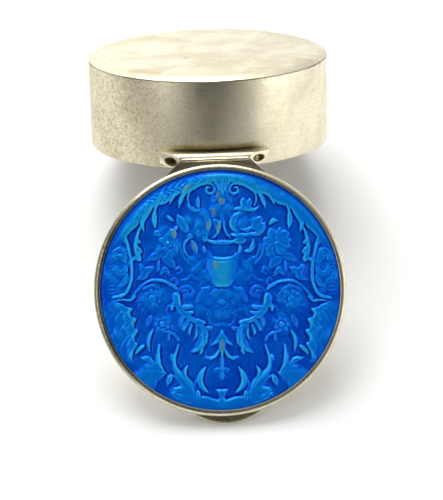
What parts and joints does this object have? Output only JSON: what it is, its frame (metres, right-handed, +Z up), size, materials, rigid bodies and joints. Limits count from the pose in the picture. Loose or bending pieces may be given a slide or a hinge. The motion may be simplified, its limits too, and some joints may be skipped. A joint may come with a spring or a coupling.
{
  "type": "enamel pill box",
  "caption": "Round silver pill box with a hinged, blue guilloche enamel lid, set down open like a tent on its rim and its thumb piece.",
  "frame": {"origin": "on the table, under the middle of the standing open box", "axes": "+Z up, the open lid towards -Y, the box towards +Y, the hinge along X"},
  "size_m": [0.036, 0.0692, 0.0305],
  "materials": {
    "silver": "tarnished silver, brushed",
    "inside_silver": "dull silver",
    "pin": "dark tarnished",
    "enamel": "translucent blue enamel over chased relief"
  },
  "bodies": {
    "box": {"box_wall": "silver", "box_base": "silver", "hinge_bearer": "silver", "hinge_pin": "pin"},
    "lid": {"lid_plate": "inside_silver", "lid_bezel": "silver", "enamel_plaque": "enamel", "lid_hinge_leaf": "silver", "thumb_piece": "silver"}
  },
  "joints": [
    {"name": "lid_hinge", "type": "hinge", "parent": "box", "child": "lid", "pos_m": [0, -0.0028, 0.02109], "axis": [1, 0, 0], "range_deg": [0, 110.7]}
  ]
}
